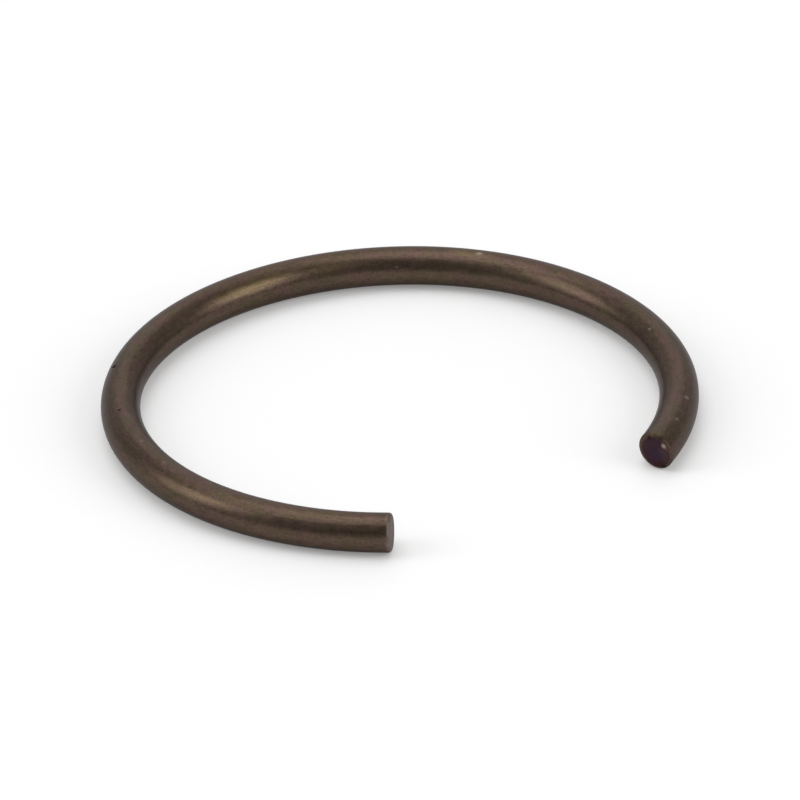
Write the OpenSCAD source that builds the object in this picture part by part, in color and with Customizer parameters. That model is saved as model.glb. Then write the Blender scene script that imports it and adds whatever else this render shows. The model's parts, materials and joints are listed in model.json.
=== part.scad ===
// Round wire retaining ring (circlip), lying flat and in its free state.
// One length of spring wire is coiled to a half turn, the main arc, and eases
// to a slightly larger radius on both sides of it, so that the ring presses
// evenly once it is squeezed into its groove. The gap between the cut ends
// faces -Y, and the origin is the centre of the main arc, halfway up the wire.
// Both ends are sheared off the coil a little on the slant: the long end's cut
// looks inward of square and the short end's cut looks outward.

/* [Wire] */
// Diameter of the round spring wire
wire_d = 2; // [1.6:0.1:2.5]
// Bevel round the rim of each cut end
rim_bevel = 0.12; // [0.05:0.01:0.4]

/* [Ring] */
// Outside diameter of the main arc when the ring is free
ring_d = 30; // [24:0.5:40]
// How much larger the radius is along the eased stretches than along the main arc
ease = 0.56; // [0.1:0.02:1.5]
// Degrees that the eased stretch turns through at the long end, right of the gap
long_end_turn = 83; // [40:1:85]
// Degrees that the eased stretch turns through at the short end, left of the gap
short_end_turn = 29.5; // [15:0.5:70]

/* [Cut ends] */
// Degrees off square of the long end's cut, turned inward
long_cut_slant = 14; // [0:1:25]
// Degrees off square of the short end's cut, turned outward
short_cut_slant = 7; // [0:1:25]

/* [Hidden] */
$fn = 96;
STEEL = [0.27, 0.23, 0.19];

mean_r = (ring_d - wire_d) / 2;
eased_r = mean_r + ease;
// Spare wire past each cut, half a diameter long, and how far the cutter
// reaches beyond the wire's side
spare_turn = wire_d / 2 / eased_r * 180 / PI;
reach = wire_d / 4;

// Angle by which the ring is turned so that the line across its gap lies along X.
function cut_x(turn) = eased_r * cos(turn) - ease;
function cut_y(turn) = eased_r * sin(turn);
to_front = atan2(cut_y(long_end_turn) - cut_y(short_end_turn),
                 cut_x(long_end_turn) + cut_x(short_end_turn));

// Wire bent to an arc about the origin, starting on +X.
module bent_wire(r, turn) {
    rotate_extrude(angle = turn) translate([r, 0]) circle(d = wire_d);
}

// What a cut takes away past Y = 0: all the wire, and a bevel round the rim.
module cut_off() {
    side = wire_d / 2;
    rotate([-90, 0, 0]) rotate_extrude() polygon([
        [0, 0], [side - rim_bevel, 0], [side + reach, -rim_bevel - reach],
        [side + reach, wire_d], [0, wire_d]
    ]);
}

// Eased stretch that leaves the main arc at angle 0, down to its cut end. A
// positive slant turns the cut to look inward of square.
module eased_end(turn, slant) {
    translate([-ease, 0, 0]) difference() {
        bent_wire(eased_r, turn + spare_turn);
        rotate([0, 0, turn]) translate([eased_r, 0, 0])
            rotate([0, 0, slant]) cut_off();
    }
}

module retaining_ring() {
    color(STEEL) rotate([0, 0, to_front]) {
        bent_wire(mean_r, 180);
        rotate([0, 0, 180]) eased_end(short_end_turn, -short_cut_slant);
        mirror([0, 1, 0]) eased_end(long_end_turn, long_cut_slant);
    }
}

retaining_ring();
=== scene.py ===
"""Looks of a round wire retaining ring: the bent wire, its dark finish and a plain pale stage."""
import json
import math

import bpy
from bpy.props import FloatProperty, FloatVectorProperty, IntProperty, PointerProperty
from mathutils import Matrix, Vector


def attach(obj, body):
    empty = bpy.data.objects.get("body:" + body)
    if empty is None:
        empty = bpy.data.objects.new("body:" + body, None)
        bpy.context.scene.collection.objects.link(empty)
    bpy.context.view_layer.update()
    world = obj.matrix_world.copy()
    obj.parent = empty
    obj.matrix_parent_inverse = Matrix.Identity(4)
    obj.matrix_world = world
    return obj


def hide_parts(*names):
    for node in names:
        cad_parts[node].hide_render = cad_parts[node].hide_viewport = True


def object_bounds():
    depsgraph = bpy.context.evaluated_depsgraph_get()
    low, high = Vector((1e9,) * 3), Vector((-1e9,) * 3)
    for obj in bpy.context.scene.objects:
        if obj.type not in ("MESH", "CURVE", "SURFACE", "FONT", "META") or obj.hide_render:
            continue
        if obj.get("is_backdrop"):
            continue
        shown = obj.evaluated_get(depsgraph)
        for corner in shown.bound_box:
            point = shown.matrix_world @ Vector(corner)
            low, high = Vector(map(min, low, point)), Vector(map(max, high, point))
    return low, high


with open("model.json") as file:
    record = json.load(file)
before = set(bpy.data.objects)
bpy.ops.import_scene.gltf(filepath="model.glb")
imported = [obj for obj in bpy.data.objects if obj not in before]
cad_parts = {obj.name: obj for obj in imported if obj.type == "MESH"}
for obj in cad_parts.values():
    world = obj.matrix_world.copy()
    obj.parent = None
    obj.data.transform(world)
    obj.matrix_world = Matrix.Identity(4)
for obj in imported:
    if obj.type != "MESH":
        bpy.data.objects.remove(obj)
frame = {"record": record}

bl_info = {
    "name": "Round Wire Retaining Ring",
    "version": (1, 0, 0),
    "blender": (4, 5, 0),
    "location": "View3D > Sidebar > Retaining Ring",
    "description": "Bends a snap ring from round spring wire and lays it on a pale studio floor",
    "category": "Object",
}

NODE = "retaining_ring"
BODY = "root"

MM = 0.001
HALF_TURN = math.pi

# The seat in the frame gives the outside radius and the thickness of the wire
SEAT = frame["record"]["mounts"][0]["dims"]
WIRE_DIAMETER = SEAT["length_mm"] * MM
MAIN_RADIUS = SEAT["r_mm"] * MM - WIRE_DIAMETER / 2

# The mesh: segments across a rim and the profile that makes it round, rings of faces on the flat
# of a cut, cuts in each edge round a pit, and the distance within which vertices are merged
RIM_SEGMENTS = 6
ROUND_PROFILE = 0.5
FLAT_RINGS = 8
PIT_CUTS = 5
MERGE_DISTANCE = 0.001 * MM

# A reach is widened by this factor, so that the vertices right at it are selected too
REACH_FACTOR = 1.003

# A face belongs to the flat of a cut where the cosine of the angle between them is above this
FLAT_COSINE = 0.9999

# How far from the middle of a cut its marking goes, as a share of the wire's diameter, and the
# value behind the rim at which the marking stops
CUT_REACH = 0.6
CUT_FLOOR = -2.0

# Marks on the wire: degrees along it from the start of the main arc, degrees round it from its
# outer side up over the top, half length and half width in mm, and strength from 0 to 1
PALE_SPECKS = (
    (14, 97, 0.19, 0.13, 0.9),
    (32, 156, 0.10, 0.07, 0.6),
    (-38.3, 115, 0.13, 0.10, 0.55),
    (-68.9, 59, 0.16, 0.14, 0.7),
    (-78.1, 62, 0.13, 0.11, 0.55),
    (146.3, 88, 0.14, 0.13, 0.2),
    (156.6, 84, 0.14, 0.13, 0.2),
    (133.6, 92, 0.14, 0.09, 0.15),
)
GOLD_STREAKS = (
    (67, 134, 3.0, 0.34, 0.9),
    (46, 140, 1.6, 0.25, 0.5),
    (171, 43, 1.5, 0.18, 0.4),
    (16, 98, 1.3, 0.35, 0.7),
    (121, 105, 1.0, 0.20, 0.4),
)
# Pits, sunk into the wire and darkened further with painted shade
DARK_PITS = (
    (112.4, 56.5, 0.15, 0.17, 1.0),
    (131.6, 77.5, 0.15, 0.14, 0.85),
    (114, 116, 0.11, 0.08, 0.35),
)

# A pit's depth, and the reach of its bottom, of its dent and of the finer faces round it, as shares
# of its half length. The dent is round, and only the painted shade in it has the half width.
PIT_DEPTH = 0.35
PIT_BOTTOM = 0.2
PIT_DENT = 1.1
PIT_FINE_FACES = 2.2

# Marks on the long end's cut: mm outward from the wire's axis, mm up from it, radius in mm, and
# strength from 0 to 1
BLUE_TINTS = (
    (0.12, -0.12, 0.38, 0.7),
)
RUST_MARKS = (
    (-0.50, -0.68, 0.18, 1.0),
    (0.30, -0.80, 0.37, 1.0),
)
OXIDE_SMEARS = (
    (0.76, 0.50, 0.28, 0.9),
    (0.66, -0.02, 0.42, 0.25),
)
DARK_MARKS = (
    (-0.27, 0.75, 0.15, 0.9),
    (0.06, 0.90, 0.14, 0.5),
    (0.36, 0.90, 0.18, 0.6),
    (0.55, -0.80, 0.20, 1.0),
)
# A burr of bare steel on the long end's cut, made bright as a painted glint
BURR_GLINTS = (
    (0.56, 0.515, 0.14, 0.5),
)

# How far out a mark has faded away and how far in it is whole, as shares of its half length or width
MARK_FADE = (1.3, 0.4)

# Patterns in the finish: length along the wire and width round it in mm, and detail
PATTERNS = {
    "patches": (1.3, 0.7, 4.0),
    "clouds": (7.0, 1.6, 3.0),
    "lines": (4.0, 0.10, 3.0),
    "grain": (0.50, 0.22, 5.0),
    "speckle": (0.13, 0.10, 2.0),
    "cut_patches": (0.5, 0.35, 2.0),
    "cut_grain": (0.2, 0.07, 3.0),
}
PATTERN_ROUGHNESS = 0.62

# Brightness that the skin and the cuts start from, and how much each pattern adds to it
SKIN_SHADE = -0.27
SKIN_WEIGHTS = {"clouds": 0.35, "lines": 0.30, "grain": 0.90, "speckle": 1.0}
CUT_SHADE = 0.4
CUT_WEIGHTS = {"cut_grain": 0.5, "cut_patches": 0.7}

# How much each pattern adds to the roughness and to the height of the skin
ROUGHNESS_WEIGHTS = {"grain": 0.16, "clouds": 0.06}
BUMP_WEIGHTS = {"lines": 0.6, "grain": 1.0}
BUMP_STRENGTH = 0.7
BUMP_DISTANCE = 0.010 * MM

# Between which values of their pattern the skin turns from red-brown to olive, and a golden
# streak from nothing to whole
OLIVE_FADE = (0.32, 0.68)
STREAK_FADE = (0.2, 0.6)

# Between which nearnesses to a cut the bare steel starts at each end, the marks at the rim start,
# and the roughness of the cut starts. Nearness is 0 where the rim starts and 1 on the flat.
LONG_RIM_FADE = (0.3, 0.7)
SHORT_RIM_FADE = (-0.5, 0.8)
RIM_MARK_FADE = (0.0, 0.1)
TORN_FADE = (0.0, 0.3)

# The disc of bare steel on the long end's cut: its middle off the wire's axis, the distances in mm
# at which it has faded away and is whole, and how much the grain moves them
BARE_MIDDLE = (0.0, 0.07 * MM, 0.0)
BARE_FADE = (0.95, 0.83)
BARE_WAVER = {"cut_grain": 0.12}

# Places of the colours among the sockets of a Mix node
MIX_FIRST = 6
MIX_SECOND = 7
MIX_RESULT = 2

# Softboxes: name, azimuth in degrees to the right from straight behind the ring, elevation, half
# width and half height in degrees, and brightness, where 1 is as bright as a white floor
SOFTBOXES = (
    ("left_softbox", -93, 30, 15, 22, 2.4),
    ("right_softbox", 113, 28, 17, 22, 2.75),
    ("top_softbox", -50, 76.5, 25, 25, 1.45),
)

# Degrees off straight in front at which the darker front starts and is whole, the same off
# straight behind for the foot of the sweep, and the foot's light as a share of the sweep's
FRONT_ANGLES = (75, 25)
FOOT_ANGLES = (65, 20)
FOOT_SHARE = 0.5

# The tall strip of the sweep starts and is whole between two cosines: at its top, of the angle off
# straight behind, and at its sides, of the angle off straight right or left
STRIP_TOP = (0.25, 0.60)
STRIP_SIDES = (0.48, 0.12)

# The camera's sensor in mm, and the nearest distance that it sees
SENSOR_WIDTH = 36.0
CLIP_START = 0.01

WHITE = (1.0, 1.0, 1.0, 1.0)


class RingShape(bpy.types.PropertyGroup):
    """Sizes of the bent wire."""

    wire_diameter: FloatProperty(
        name="Wire diameter",
        description="Thickness of the round spring wire",
        default=WIRE_DIAMETER, min=0.0005, max=0.01, precision=5, unit="LENGTH",
    )
    main_radius: FloatProperty(
        name="Main arc radius",
        description="Radius of the middle of the wire along the main arc, which is a half turn",
        default=MAIN_RADIUS, min=0.005, max=0.1, precision=5, unit="LENGTH",
    )
    ease: FloatProperty(
        name="Ease",
        description="How much larger the radius is towards the two ends than along the main arc",
        default=0.56 * MM, min=0.0, max=0.005, precision=5, unit="LENGTH",
    )
    long_end_turn: FloatProperty(
        name="Long end turn",
        description="Angle of the eased stretch at the long end, right of the gap",
        default=math.radians(83), min=0.5, max=1.5, subtype="ANGLE",
    )
    short_end_turn: FloatProperty(
        name="Short end turn",
        description="Angle of the eased stretch at the short end, left of the gap",
        default=math.radians(29.5), min=0.2, max=1.3, subtype="ANGLE",
    )
    long_cut_slant: FloatProperty(
        name="Long end's cut slant",
        description="Angle off square of the long end's cut, turned inward",
        default=math.radians(14), min=0.0, max=0.45, subtype="ANGLE",
    )
    short_cut_slant: FloatProperty(
        name="Short end's cut slant",
        description="Angle off square of the short end's cut, turned outward",
        default=math.radians(3), min=0.0, max=0.45, subtype="ANGLE",
    )
    short_cut_reach: FloatProperty(
        name="Short end's cut reach",
        description="How far the middle of the short end's cut stands past the short end's turn",
        default=0.07 * MM, min=0.0, max=0.0005, precision=5, unit="LENGTH",
    )
    long_cut_lean: FloatProperty(
        name="Long end's cut lean",
        description="Angle by which the long end's cut looks down",
        default=math.radians(4), min=0.0, max=0.2, subtype="ANGLE",
    )
    short_cut_lean: FloatProperty(
        name="Short end's cut lean",
        description="Angle by which the short end's cut looks up",
        default=math.radians(1.5), min=0.0, max=0.2, subtype="ANGLE",
    )
    long_rim_radius: FloatProperty(
        name="Long end's rim radius",
        description="Rounding of the rim round the long end's cut",
        default=0.18 * MM, min=0.00002, max=0.0005, precision=5, unit="LENGTH",
    )
    short_rim_radius: FloatProperty(
        name="Short end's rim radius",
        description="Rounding of the rim round the short end's cut",
        default=0.16 * MM, min=0.00002, max=0.0005, precision=5, unit="LENGTH",
    )
    sides: IntProperty(
        name="Sides",
        description="Number of faces round the wire",
        default=96, min=24, max=128,
    )
    ring_spacing: FloatProperty(
        name="Ring spacing",
        description="Distance between the rings of faces along the wire",
        default=0.16 * MM, min=0.0001, max=0.002, precision=5, unit="LENGTH",
    )


class SteelFinish(bpy.types.PropertyGroup):
    """Colours and gloss of the oil-tempered wire and of its cut ends."""

    red_brown: FloatVectorProperty(
        name="Red-brown oxide",
        description="Warmer tone of the oxide on the wire",
        default=(0.096, 0.0605, 0.0500), min=0.0, max=1.0, subtype="COLOR",
    )
    olive_brown: FloatVectorProperty(
        name="Olive-brown oxide",
        description="Greener tone of the oxide on the wire",
        default=(0.086, 0.0655, 0.0415), min=0.0, max=1.0, subtype="COLOR",
    )
    gold_brown: FloatVectorProperty(
        name="Gold-brown oxide",
        description="Colour of the few golden streaks where the oxide is thinner",
        default=(0.128, 0.094, 0.050), min=0.0, max=1.0, subtype="COLOR",
    )
    speck_colour: FloatVectorProperty(
        name="Pale specks",
        description="Tone of the specks where the oxide is rubbed thin",
        default=(0.26, 0.21, 0.18), min=0.0, max=1.0, subtype="COLOR",
    )
    # Painted shade in the dents of the pits. The dark marks at the long end's rim take the same tone.
    pit_shade_colour: FloatVectorProperty(
        name="Pits",
        description="Tone of the small dark pits and of the dark marks at the long end's rim",
        default=(0.026, 0.017, 0.013), min=0.0, max=1.0, subtype="COLOR",
    )
    long_cut: FloatVectorProperty(
        name="Long end's cut",
        description="Purple heat tint on the cut face of the long end",
        default=(0.049, 0.025, 0.034), min=0.0, max=1.0, subtype="COLOR",
    )
    long_cut_blue: FloatVectorProperty(
        name="Long end's cut, blue",
        description="Bluer tint below the middle of the long end's cut",
        default=(0.037, 0.026, 0.050), min=0.0, max=1.0, subtype="COLOR",
    )
    long_cut_rust: FloatVectorProperty(
        name="Long end's cut, rust",
        description="Dark red-brown tint at the bottom of the long end's cut",
        default=(0.040, 0.020, 0.018), min=0.0, max=1.0, subtype="COLOR",
    )
    short_cut: FloatVectorProperty(
        name="Short end's cut",
        description="Paler, grey-brown cut face of the short end",
        default=(0.166, 0.131, 0.111), min=0.0, max=1.0, subtype="COLOR",
    )
    # Paler bare steel of the burr, brightened further into a painted glint
    burr_glint_colour: FloatVectorProperty(
        name="Burr",
        description="Bright torn steel at the rim of the long end's cut",
        default=(0.50, 0.43, 0.40), min=0.0, max=1.0, subtype="COLOR",
    )
    edge_tint: FloatVectorProperty(
        name="Edge tint",
        description="Colour of the glancing reflections, which the oxide dulls",
        default=(0.62, 0.62, 0.64), min=0.0, max=1.0, subtype="COLOR",
    )
    roughness: FloatProperty(
        name="Roughness",
        description="Roughness of the wire's skin",
        default=0.34, min=0.0, max=1.0, subtype="FACTOR",
    )
    cut_roughness: FloatProperty(
        name="Cut roughness",
        description="Roughness of the cut faces",
        default=0.55, min=0.0, max=1.0, subtype="FACTOR",
    )


class StudioStage(bpy.types.PropertyGroup):
    """Floor, room, lights and camera."""

    floor_colour: FloatVectorProperty(
        name="Floor",
        description="Colour of the plain floor",
        default=(0.78, 0.78, 0.78), min=0.0, max=1.0, subtype="COLOR",
    )
    floor_glow: FloatProperty(
        name="Floor glow",
        description="Glow of the floor where it is seen or mirrored, as on a light table",
        default=0.2, min=0.0, max=1.0, subtype="FACTOR",
    )
    room: FloatVectorProperty(
        name="Room",
        description="Grey light from the room on both sides and above",
        default=(0.46, 0.46, 0.46), min=0.0, max=1.0, subtype="COLOR",
    )
    front: FloatVectorProperty(
        name="Front",
        description="Darker grey light from the camera's side of the room",
        default=(0.30, 0.30, 0.30), min=0.0, max=1.0, subtype="COLOR",
    )
    sweep: FloatVectorProperty(
        name="Sweep",
        description="Light from the white sweep that stands behind the ring",
        default=(1.25, 1.25, 1.25), min=0.0, max=4.0, subtype="COLOR",
    )
    floor_width: FloatProperty(
        name="Floor width",
        description="Width of the square floor",
        default=6.0, min=0.5, max=20.0, unit="LENGTH",
    )
    light_distance: FloatProperty(
        name="Light distance",
        description="Distance from the ring to each softbox",
        default=0.8, min=0.1, max=5.0, unit="LENGTH",
    )
    camera_azimuth: FloatProperty(
        name="Camera azimuth",
        description="Direction that the camera looks in, turned from +Y",
        default=math.radians(-28.35), subtype="ANGLE",
    )
    camera_elevation: FloatProperty(
        name="Camera elevation",
        description="Angle at which the camera looks down",
        default=math.radians(28.7), subtype="ANGLE",
    )
    camera_roll: FloatProperty(
        name="Camera roll",
        description="Tilt of the camera about its line of sight",
        default=math.radians(-2.16), subtype="ANGLE",
    )
    camera_distance: FloatProperty(
        name="Camera distance",
        description="Distance from the camera to the middle of the main arc",
        default=0.569, min=0.1, max=5.0, unit="LENGTH",
    )
    lens: FloatProperty(
        name="Lens",
        description="Focal length on a sensor 36 mm wide",
        default=506.1, min=10.0, max=1000.0, subtype="DISTANCE_CAMERA",
    )
    shift_x: FloatProperty(
        name="Shift X",
        description="Sideways shift that puts the ring where the photograph has it",
        default=0.0037, min=-0.1, max=0.1, precision=4,
    )
    shift_y: FloatProperty(
        name="Shift Y",
        description="Upward shift that puts the ring where the photograph has it",
        default=-0.0053, min=-0.1, max=0.1, precision=4,
    )


# Geometry of the bent wire

def gap_turn(shape):
    """Angle by which the ring is turned so that the line across its gap lies along X."""
    eased_radius = shape.main_radius + shape.ease
    long_x = eased_radius * math.cos(shape.long_end_turn) - shape.ease
    long_y = eased_radius * math.sin(shape.long_end_turn)
    short_x = eased_radius * math.cos(shape.short_end_turn) - shape.ease
    short_y = eased_radius * math.sin(shape.short_end_turn)
    return math.atan2(long_y - short_y, long_x + short_x)


def turned(point, angle):
    """A point turned about Z."""
    return Matrix.Rotation(angle, 3, "Z") @ Vector(point)


def straightened(point, shape, turn):
    """Where a point lies once the wire is pulled straight along X from the main arc's start."""
    x, y, z = turned(point, -turn)
    eased_radius = shape.main_radius + shape.ease
    if y >= 0:
        return (shape.main_radius * math.atan2(y, x), math.hypot(x, y) - shape.main_radius, z)
    if x > 0:
        angle = math.atan2(-y, x + shape.ease)
        return (-eased_radius * angle, math.hypot(x + shape.ease, y) - eased_radius, z)
    angle = math.atan2(-y, shape.ease - x)
    along = shape.main_radius * HALF_TURN + eased_radius * angle
    return (along, math.hypot(x - shape.ease, y) - eased_radius, z)


def bend(centre, radius, angle, spacing):
    """Spin the selected section about an upright axis, as a bending tool does."""
    steps = max(2, round(radius * angle / spacing))
    bpy.ops.mesh.spin(steps=steps, angle=-angle, center=centre, axis=(0, 0, 1))


def select_within(wire, middle, reach):
    """Select the vertices within reach of a point."""
    bpy.ops.mesh.select_mode(type="VERT")
    bpy.ops.mesh.select_all(action="DESELECT")
    bpy.ops.object.mode_set(mode="OBJECT")
    for vertex in wire.data.vertices:
        vertex.select = (vertex.co - middle).length < reach
    bpy.ops.object.mode_set(mode="EDIT")


def select_flat(wire, middle, normal, reach):
    """Select the flat face of a cut."""
    bpy.ops.mesh.select_mode(type="FACE")
    bpy.ops.mesh.select_all(action="DESELECT")
    bpy.ops.object.mode_set(mode="OBJECT")
    for face in wire.data.polygons:
        near = (face.center - middle).length < reach
        face.select = near and face.normal.dot(normal) > FLAT_COSINE
    bpy.ops.object.mode_set(mode="EDIT")


def shear_end(wire, section, middle, normal, radius, rim_radius):
    """Run the wire on past its end, cut it off on a slant, round the rim and put rings on the flat."""
    ahead = middle - section
    select_within(wire, section, radius * REACH_FACTOR)
    bpy.ops.mesh.extrude_region_move(TRANSFORM_OT_translate={"value": 2 * ahead})
    select_within(wire, middle, math.hypot(radius, ahead.length) * REACH_FACTOR)
    bpy.ops.mesh.bisect(plane_co=middle, plane_no=normal, use_fill=True, clear_outer=True)
    bpy.ops.mesh.select_mode(type="EDGE")
    bpy.ops.mesh.region_to_loop()
    bpy.ops.mesh.bevel(
        offset=rim_radius, segments=RIM_SEGMENTS, profile=ROUND_PROFILE, affect="EDGES",
    )
    select_flat(wire, middle, normal, radius)
    for _ in range(FLAT_RINGS):
        bpy.ops.mesh.inset(thickness=(radius - rim_radius) / (FLAT_RINGS + 1))
    bpy.ops.mesh.poke()


def sink_pit(wire, mark, turn, shape):
    """Press a pit into the wire along the main arc, in faces made fine enough for it."""
    along, round_, half_length, _, strength = mark
    size = half_length * MM
    radial = turned((1, 0, 0), turn + math.radians(along))
    out = radial * math.cos(math.radians(round_)) + Vector((0, 0, math.sin(math.radians(round_))))
    middle = radial * shape.main_radius + out * shape.wire_diameter / 2
    select_within(wire, middle, PIT_FINE_FACES * size)
    bpy.ops.mesh.subdivide(number_cuts=PIT_CUTS)
    select_within(wire, middle, PIT_BOTTOM * size)
    bpy.ops.transform.translate(
        value=out * -PIT_DEPTH * strength * size, use_proportional_edit=True,
        proportional_edit_falloff="SMOOTH", proportional_size=PIT_DENT * size,
    )


def cut_normal(outward, way, slant, lean):
    """Direction that a cut faces: inwards and down at the long end, outwards and up at the short end."""
    slanted = turned(outward, -slant)
    return (slanted + Vector((0, 0, way * math.tan(lean)))).normalized()


def model_wire(shape):
    """Lay a round section near the long end, bend it round three arcs, shear both ends and sink the pits."""
    turn = gap_turn(shape)
    eased_radius = shape.main_radius + shape.ease
    radius = shape.wire_diameter / 2

    # The bends stop this far short of the cuts, so that the slants and the rims lie in straight wire
    steepest = max(shape.long_cut_slant, shape.short_cut_slant)
    spare = radius * math.tan(steepest) + 2 * max(shape.long_rim_radius, shape.short_rim_radius)
    long_bend = shape.long_end_turn - spare / eased_radius
    short_bend = shape.short_end_turn - spare / eased_radius
    long_centre = turned((-shape.ease, 0, 0), turn)
    short_centre = turned((shape.ease, 0, 0), turn)
    long_angle = turn - long_bend
    short_angle = turn + HALF_TURN + short_bend
    long_section = long_centre + turned((eased_radius, 0, 0), long_angle)
    short_section = short_centre + turned((eased_radius, 0, 0), short_angle)

    bpy.ops.object.select_all(action="DESELECT")
    bpy.ops.mesh.primitive_circle_add(
        vertices=shape.sides, radius=radius, fill_type="NOTHING",
        location=long_section, rotation=(HALF_TURN / 2, 0, long_angle),
    )
    bpy.ops.object.transform_apply(location=True, rotation=True, scale=True)
    wire = bpy.context.object
    wire.name = wire.data.name = "snap_ring_wire"

    bpy.ops.object.mode_set(mode="EDIT")
    bpy.ops.mesh.select_all(action="SELECT")
    bend(long_centre, eased_radius, long_bend, shape.ring_spacing)
    bend((0, 0, 0), shape.main_radius, HALF_TURN, shape.ring_spacing)
    bend(short_centre, eased_radius, short_bend, shape.ring_spacing)
    long_outward = turned((0, -1, 0), long_angle)
    short_outward = turned((0, 1, 0), short_angle)
    long_middle = long_section + long_outward * spare
    short_middle = short_section + short_outward * (spare + shape.short_cut_reach)
    long_normal = cut_normal(long_outward, -1, shape.long_cut_slant, shape.long_cut_lean)
    short_normal = cut_normal(short_outward, 1, shape.short_cut_slant, shape.short_cut_lean)
    shear_end(wire, long_section, long_middle, long_normal, radius, shape.long_rim_radius)
    shear_end(wire, short_section, short_middle, short_normal, radius, shape.short_rim_radius)
    for mark in DARK_PITS:
        sink_pit(wire, mark, turn, shape)
    bpy.ops.mesh.select_all(action="SELECT")
    bpy.ops.mesh.remove_doubles(threshold=MERGE_DISTANCE)
    bpy.ops.mesh.normals_make_consistent(inside=False)
    bpy.ops.object.mode_set(mode="OBJECT")
    bpy.ops.object.shade_smooth()

    lay_out_skin(wire, shape, turn)
    mark_cuts(wire, (
        (long_middle, long_normal, shape.long_rim_radius),
        (short_middle, short_normal, shape.short_rim_radius),
    ))
    return wire


def lay_out_skin(wire, shape, turn):
    """Store on each vertex where it lies along and round the straight wire, for the finish to follow."""
    straight = wire.data.attributes.new("straight", "FLOAT_VECTOR", "POINT")
    for vertex, place in zip(wire.data.vertices, straight.data):
        place.vector = straightened(vertex.co, shape, turn)


def mark_cuts(wire, cuts):
    """Store how near each vertex is to a cut: 1 on the flat, 0 where its rim starts, less behind it."""
    cut = wire.data.attributes.new("cut", "FLOAT", "POINT")
    for vertex, nearness in zip(wire.data.vertices, cut.data):
        nearness.value = CUT_FLOOR
        for middle, normal, rim_radius in cuts:
            away = vertex.co - middle
            if away.length < WIRE_DIAMETER * CUT_REACH:
                nearness.value = max(CUT_FLOOR, 1.0 + away.dot(normal) / rim_radius)


# Finish of the steel

def add_node(tree, kind, inputs=None, **settings):
    """Add a shader node, with its settings, and its inputs given as values or as linked sockets."""
    made = tree.nodes.new(kind)
    for name, value in settings.items():
        setattr(made, name, value)
    for name, value in (inputs or {}).items():
        if isinstance(value, bpy.types.NodeSocket):
            tree.links.new(value, made.inputs[name])
        else:
            made.inputs[name].default_value = value
    return made


def math_node(tree, operation, first, second):
    """The result of one sum on two numbers or sockets."""
    return add_node(tree, "ShaderNodeMath", {0: first, 1: second}, operation=operation).outputs[0]


def vector_node(tree, operation, first, second=(0, 0, 0)):
    """The result of one sum on two vectors or sockets. A length or a dot product is a number."""
    made = add_node(tree, "ShaderNodeVectorMath", {0: first, 1: second}, operation=operation)
    return made.outputs["Value" if operation in ("LENGTH", "DOT_PRODUCT") else "Vector"]


def mix_colour(tree, factor, first, second, blend="MIX"):
    """Two colours mixed by a factor."""
    made = add_node(
        tree, "ShaderNodeMix", {0: factor, MIX_FIRST: first, MIX_SECOND: second},
        data_type="RGBA", blend_type=blend,
    )
    return made.outputs[MIX_RESULT]


def skin_noise(tree, place, along_mm, round_mm, detail):
    """Noise in patches of a given length along the wire and width round it, from 0 to 1."""
    scale = (1 / (along_mm * MM), 1 / (round_mm * MM), 1 / (round_mm * MM))
    spread = vector_node(tree, "MULTIPLY", place, scale)
    noise = add_node(
        tree, "ShaderNodeTexNoise",
        {"Vector": spread, "Scale": 1.0, "Detail": detail, "Roughness": PATTERN_ROUGHNESS},
    )
    return noise.outputs[0]


def weighted(tree, start, patterns, weights):
    """A start value, with each named pattern added to it by its weight."""
    total = start
    for name, weight in weights.items():
        total = math_node(tree, "ADD", total, math_node(tree, "MULTIPLY", patterns[name], weight))
    return total


def steepened(tree, value, low, high):
    """A value stretched so that low becomes 0 and high becomes 1."""
    made = add_node(
        tree, "ShaderNodeMapRange", {"Value": value, "From Min": low, "From Max": high},
        interpolation_type="SMOOTHSTEP",
    )
    return made.outputs[0]


def blot(tree, place, middle, half_length, half_width):
    """1 at the middle of an oval spot, falling to 0 at its edge. Its half length and width are in mm."""
    scale = (1 / (half_length * MM), 1 / (half_width * MM), 1 / (half_width * MM))
    away = vector_node(tree, "SUBTRACT", place, middle)
    far = vector_node(tree, "LENGTH", vector_node(tree, "MULTIPLY", away, scale))
    return steepened(tree, far, *MARK_FADE)


def spots(tree, place, marks):
    """1 at the middle of each small mark, falling to 0 at its edge."""
    covered = 0.0
    for along, round_, half_length, half_width, strength in marks:
        middle = (
            math.radians(along) * MAIN_RADIUS,
            math.cos(math.radians(round_)) * WIRE_DIAMETER / 2,
            math.sin(math.radians(round_)) * WIRE_DIAMETER / 2,
        )
        spot = blot(tree, place, middle, half_length, half_width)
        covered = math_node(tree, "MAXIMUM", math_node(tree, "MULTIPLY", spot, strength), covered)
    return covered


def end_spots(tree, place, marks):
    """1 at the middle of each mark on a cut, falling to 0 at its edge."""
    across = vector_node(tree, "MULTIPLY", place, (0, 1, 1))
    covered = 0.0
    for outward, up, radius, strength in marks:
        spot = blot(tree, across, (0, outward * MM, up * MM), radius, radius)
        covered = math_node(tree, "MAXIMUM", math_node(tree, "MULTIPLY", spot, strength), covered)
    return covered


def at_long_end(tree, place):
    """1 on the long end's side of the main arc's start, and 0 on the rest of the wire."""
    along = add_node(tree, "ShaderNodeSeparateXYZ", {0: place}).outputs[0]
    return math_node(tree, "LESS_THAN", along, 0.0)


def rgba(colour):
    """A colour property as four numbers."""
    return (*colour, 1.0)


def shaded(tree, tone, shade):
    """A colour made lighter or darker by a factor."""
    grey = add_node(tree, "ShaderNodeCombineColor", {0: shade, 1: shade, 2: shade})
    return mix_colour(tree, 1.0, tone, grey.outputs[0], "MULTIPLY")


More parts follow.
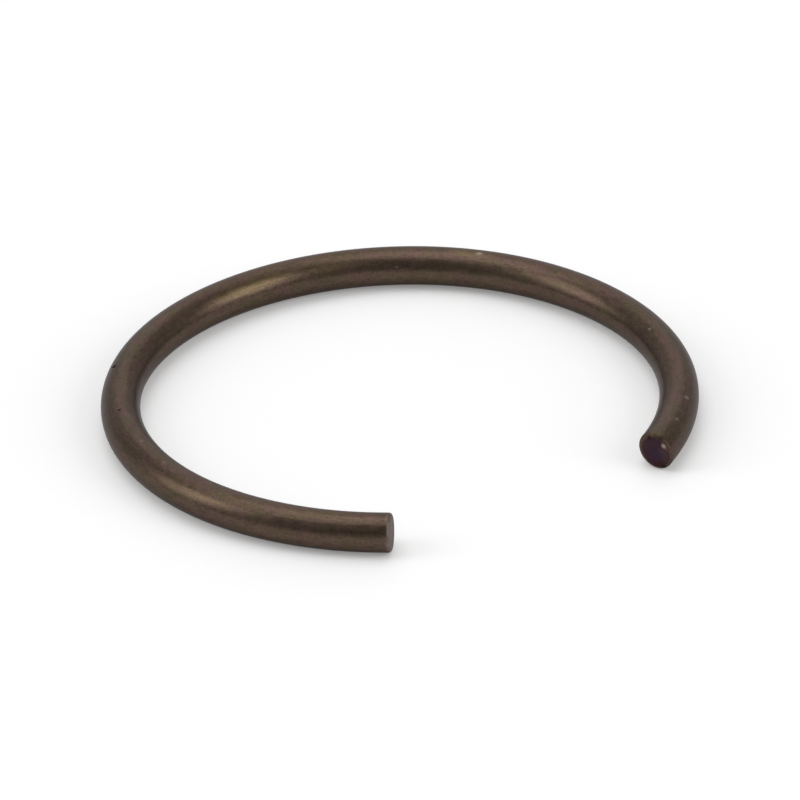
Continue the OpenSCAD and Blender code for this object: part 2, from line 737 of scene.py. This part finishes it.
def skin_colour(tree, place, patterns, finish):
    """Dark oxide in red-brown and olive patches, with drawn lines along the wire, a few marks and painted
    shade in the pits.
    """
    olive = steepened(tree, patterns["patches"], *OLIVE_FADE)
    tone = mix_colour(tree, olive, rgba(finish.red_brown), rgba(finish.olive_brown))
    streaks = steepened(tree, patterns["lines"], *STREAK_FADE)
    gold = math_node(tree, "MULTIPLY", spots(tree, place, GOLD_STREAKS), streaks)
    tone = mix_colour(tree, gold, tone, rgba(finish.gold_brown))
    tone = shaded(tree, tone, weighted(tree, SKIN_SHADE, patterns, SKIN_WEIGHTS))
    tone = mix_colour(tree, spots(tree, place, PALE_SPECKS), tone, rgba(finish.speck_colour))
    # Painted shade: the pits are darkened in colour on top of their real dents
    return mix_colour(tree, spots(tree, place, DARK_PITS), tone, rgba(finish.pit_shade_colour))


def cut_colour(tree, place, patterns, finish):
    """Sheared steel: purple from heat at the long end, with blue and rust, paler at the short end."""
    blue = end_spots(tree, place, BLUE_TINTS)
    tone = mix_colour(tree, blue, rgba(finish.long_cut), rgba(finish.long_cut_blue))
    tone = mix_colour(tree, end_spots(tree, place, RUST_MARKS), tone, rgba(finish.long_cut_rust))
    tone = mix_colour(tree, at_long_end(tree, place), rgba(finish.short_cut), tone)
    return shaded(tree, tone, weighted(tree, CUT_SHADE, patterns, CUT_WEIGHTS))


def rim_marks(tree, place, tone, nearness, finish):
    """The dark marks, and the bright burr painted as a glint, at the rim of the long end's cut."""
    started = steepened(tree, nearness, *RIM_MARK_FADE)
    on_cut = math_node(tree, "MULTIPLY", started, at_long_end(tree, place))
    dark = math_node(tree, "MULTIPLY", end_spots(tree, place, DARK_MARKS), on_cut)
    tone = mix_colour(tree, dark, tone, rgba(finish.pit_shade_colour))
    # Painted glint on the burr
    burr_glint = math_node(tree, "MULTIPLY", end_spots(tree, place, BURR_GLINTS), on_cut)
    return mix_colour(tree, burr_glint, tone, rgba(finish.burr_glint_colour))


def cut_share(tree, place, nearness, patterns):
    """1 on a cut and 0 on the skin. The long end's rim keeps its oxide, the short end's fades out."""
    away = vector_node(tree, "SUBTRACT", place, BARE_MIDDLE)
    far = vector_node(tree, "LENGTH", vector_node(tree, "MULTIPLY", away, (0, 1 / MM, 1 / MM)))
    disc = steepened(tree, weighted(tree, far, patterns, BARE_WAVER), *BARE_FADE)
    disc = math_node(tree, "MULTIPLY", disc, steepened(tree, nearness, *LONG_RIM_FADE))
    clean = math_node(tree, "SUBTRACT", 1.0, end_spots(tree, place, OXIDE_SMEARS))
    disc = math_node(tree, "MULTIPLY", disc, clean)
    whole = steepened(tree, nearness, *SHORT_RIM_FADE)
    whole = math_node(tree, "SUBTRACT", whole, at_long_end(tree, place))
    return math_node(tree, "MAXIMUM", disc, whole)


def wire_material(finish):
    """Oil-tempered spring wire with sheared ends, which fade into the skin at the rounded rims."""
    material = bpy.data.materials.new("oil_tempered_wire")
    material.use_nodes = True
    tree = material.node_tree
    tree.nodes.clear()
    output = add_node(tree, "ShaderNodeOutputMaterial")
    shader = add_node(
        tree, "ShaderNodeBsdfPrincipled", {"Metallic": 1.0, "Specular Tint": rgba(finish.edge_tint)},
    )
    tree.links.new(shader.outputs[0], output.inputs["Surface"])
    place = add_node(tree, "ShaderNodeAttribute", attribute_name="straight").outputs["Vector"]
    nearness = add_node(tree, "ShaderNodeAttribute", attribute_name="cut").outputs["Fac"]
    patterns = {name: skin_noise(tree, place, *sizes) for name, sizes in PATTERNS.items()}
    cut = cut_share(tree, place, nearness, patterns)

    skin = skin_colour(tree, place, patterns, finish)
    tone = mix_colour(tree, cut, skin, cut_colour(tree, place, patterns, finish))
    tone = rim_marks(tree, place, tone, nearness, finish)
    tree.links.new(tone, shader.inputs["Base Color"])

    # A pattern is about a half on average, so half of what the patterns can add is taken off first
    smoothest = finish.roughness - sum(ROUGHNESS_WEIGHTS.values()) / 2
    rough = weighted(tree, smoothest, patterns, ROUGHNESS_WEIGHTS)
    torn = math_node(tree, "MULTIPLY", steepened(tree, nearness, *TORN_FADE), finish.cut_roughness)
    rough = math_node(tree, "MAXIMUM", rough, torn)
    tree.links.new(rough, shader.inputs["Roughness"])

    height = weighted(tree, 0.0, patterns, BUMP_WEIGHTS)
    cut_height = math_node(tree, "MULTIPLY", patterns["cut_grain"], cut)
    height = math_node(tree, "ADD", height, cut_height)
    bump = add_node(
        tree, "ShaderNodeBump",
        {"Height": height, "Strength": BUMP_STRENGTH, "Distance": BUMP_DISTANCE},
    )
    tree.links.new(bump.outputs[0], shader.inputs["Normal"])
    return material


# Stage

def floor_material(stage):
    """Matt pale floor with a faint glow where it is seen or mirrored, so that its shadow stays light."""
    material = bpy.data.materials.new("pale_floor")
    material.use_nodes = True
    tree = material.node_tree
    shader = tree.nodes["Principled BSDF"]
    shader.inputs["Base Color"].default_value = rgba(stage.floor_colour)
    shader.inputs["Roughness"].default_value = 1.0
    shader.inputs["Specular IOR Level"].default_value = 0.0
    shader.inputs["Emission Color"].default_value = WHITE
    ray = add_node(tree, "ShaderNodeLightPath").outputs
    mirrored = math_node(tree, "MAXIMUM", ray["Is Glossy Ray"], ray["Is Transmission Ray"])
    seen = math_node(tree, "MAXIMUM", ray["Is Camera Ray"], mirrored)
    glow = math_node(tree, "MULTIPLY", seen, stage.floor_glow)
    tree.links.new(glow, shader.inputs["Emission Strength"])
    return material


def add_floor(stage):
    """Plain square floor under the ring."""
    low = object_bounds()[0]
    bpy.ops.object.select_all(action="DESELECT")
    bpy.ops.mesh.primitive_plane_add(size=stage.floor_width, location=(0, 0, low[2]))
    floor = bpy.context.object
    floor.name = floor.data.name = "floor"
    bpy.ops.object.transform_apply(location=True)
    floor.data.materials.append(floor_material(stage))
    floor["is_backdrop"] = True


def light_direction(stage, azimuth, elevation):
    """Unit vector from the ring towards a light, with azimuths counted from straight behind the ring."""
    level = turned((0, 1, 0), stage.camera_azimuth - azimuth)
    return level * math.cos(elevation) + Vector((0, 0, math.sin(elevation)))


def add_softbox(stage, name, azimuth, elevation, half_width, half_height, brightness):
    """Rounded area light that faces the ring."""
    direction = light_direction(stage, math.radians(azimuth), math.radians(elevation))
    across = stage.light_distance * math.tan(math.radians(half_width))
    upright = stage.light_distance * math.tan(math.radians(half_height))
    bpy.ops.object.light_add(
        type="AREA", location=direction * stage.light_distance,
        rotation=direction.to_track_quat("Z", "Y").to_euler(),
    )
    lamp = bpy.context.object
    lamp.name = lamp.data.name = name
    lamp.data.shape = "ELLIPSE"
    lamp.data.size = 2 * across
    lamp.data.size_y = 2 * upright

    # An area lamp is as bright as its energy divided by its area and by pi
    area = math.pi * across * upright
    lamp.data.energy = brightness * math.pi * area


def add_camera(stage):
    """Long lens at the photograph's angle, aimed so that the ring falls where the photograph has it."""
    elevation = stage.camera_elevation
    back = Vector((0, -math.cos(elevation), math.sin(elevation)))
    up = Vector((0, math.sin(elevation), math.cos(elevation)))
    right = Vector((1, 0, 0))
    cosine, sine = math.cos(stage.camera_roll), math.sin(stage.camera_roll)
    axes = (cosine * right + sine * up, cosine * up - sine * right, back)
    axes = [turned(axis, stage.camera_azimuth) for axis in axes]
    rotation = Matrix(axes).transposed().to_euler()
    bpy.ops.object.camera_add(location=axes[2] * stage.camera_distance, rotation=rotation)
    camera = bpy.context.object
    camera.name = camera.data.name = "camera"
    camera.data.sensor_width = SENSOR_WIDTH
    camera.data.lens = stage.lens
    camera.data.shift_x = stage.shift_x
    camera.data.shift_y = stage.shift_y
    camera.data.clip_start = CLIP_START
    bpy.context.scene.camera = camera


def set_surroundings(scene, stage):
    """Grey room, darker in front and with a pale sweep behind, and colours shown as they are written."""
    world = scene.world or bpy.data.worlds.new("room")
    scene.world = world
    world.use_nodes = True
    tree = world.node_tree
    front = seen_towards(tree, -light_direction(stage, 0.0, 0.0), *FRONT_ANGLES)
    light = mix_colour(tree, front, rgba(stage.room), rgba(stage.front))
    light = mix_colour(tree, sweep_share(tree, stage), light, rgba(stage.sweep))
    background = tree.nodes["Background"]
    tree.links.new(light, background.inputs["Color"])
    background.inputs["Strength"].default_value = 1.0
    scene.view_settings.view_transform = "Standard"


def sweep_share(tree, stage):
    """1 on the tall strip of the sweep behind the ring, less on its wide foot, and 0 elsewhere."""
    behind = light_direction(stage, 0.0, 0.0)
    right = light_direction(stage, HALF_TURN / 2, 0.0)
    aside = math_node(tree, "ABSOLUTE", room_cosine(tree, right), 0.0)
    below_top = steepened(tree, room_cosine(tree, behind), *STRIP_TOP)
    strip = math_node(tree, "MULTIPLY", steepened(tree, aside, *STRIP_SIDES), below_top)
    foot = math_node(tree, "MULTIPLY", seen_towards(tree, behind, *FOOT_ANGLES), FOOT_SHARE)
    return math_node(tree, "MAXIMUM", strip, foot)


def seen_towards(tree, middle, wide, narrow):
    """1 where the room lies within a narrow angle of a direction, 0 where it lies outside a wide one."""
    low, high = math.cos(math.radians(wide)), math.cos(math.radians(narrow))
    return steepened(tree, room_cosine(tree, middle), low, high)


def room_cosine(tree, middle):
    """Cosine of the angle between each direction of the room and a given one."""
    direction = add_node(tree, "ShaderNodeTexCoord").outputs["Generated"]
    return vector_node(tree, "DOT_PRODUCT", direction, middle)


# Operators

class RETAINING_RING_OT_bend_wire(bpy.types.Operator):
    """Bend the ring from round wire, cut both ends and give the steel its finish"""

    bl_idname = "retaining_ring.bend_wire"
    bl_label = "Bend the Ring"
    bl_options = {"REGISTER", "UNDO"}

    def execute(self, context):
        wire = model_wire(context.scene.ring_shape)
        wire.data.materials.append(wire_material(context.scene.steel_finish))
        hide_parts(NODE)
        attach(wire, BODY)
        return {"FINISHED"}


class RETAINING_RING_OT_set_stage(bpy.types.Operator):
    """Lay the pale floor and set the room, the softboxes and the camera"""

    bl_idname = "retaining_ring.set_stage"
    bl_label = "Set the Stage"
    bl_options = {"REGISTER", "UNDO"}

    def execute(self, context):
        stage = context.scene.studio_stage
        add_floor(stage)
        set_surroundings(context.scene, stage)
        for softbox in SOFTBOXES:
            add_softbox(stage, *softbox)
        add_camera(stage)
        return {"FINISHED"}


class RETAINING_RING_PT_tools(bpy.types.Panel):
    """Sizes, finish and stage of the retaining ring"""

    bl_label = "Retaining Ring"
    bl_idname = "RETAINING_RING_PT_tools"
    bl_space_type = "VIEW_3D"
    bl_region_type = "UI"
    bl_category = "Retaining Ring"

    def draw(self, context):
        layout = self.layout
        for operator, group in (
            (RETAINING_RING_OT_bend_wire, context.scene.ring_shape),
            (None, context.scene.steel_finish),
            (RETAINING_RING_OT_set_stage, context.scene.studio_stage),
        ):
            column = layout.column(align=True)
            for name in group.__annotations__:
                column.prop(group, name)
            if operator:
                column.operator(operator.bl_idname)


CLASSES = (
    RingShape,
    SteelFinish,
    StudioStage,
    RETAINING_RING_OT_bend_wire,
    RETAINING_RING_OT_set_stage,
    RETAINING_RING_PT_tools,
)


def register():
    """Register the classes and give the scene its groups of properties."""
    for item in CLASSES:
        bpy.utils.register_class(item)
    bpy.types.Scene.ring_shape = PointerProperty(type=RingShape)
    bpy.types.Scene.steel_finish = PointerProperty(type=SteelFinish)
    bpy.types.Scene.studio_stage = PointerProperty(type=StudioStage)


def unregister():
    """Take the groups of properties and the classes away again."""
    del bpy.types.Scene.studio_stage
    del bpy.types.Scene.steel_finish
    del bpy.types.Scene.ring_shape
    for item in reversed(CLASSES):
        bpy.utils.unregister_class(item)


def main():
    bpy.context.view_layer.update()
    register()
    bpy.ops.retaining_ring.bend_wire()
    bpy.ops.retaining_ring.set_stage()


if __name__ == "__main__":
    main()
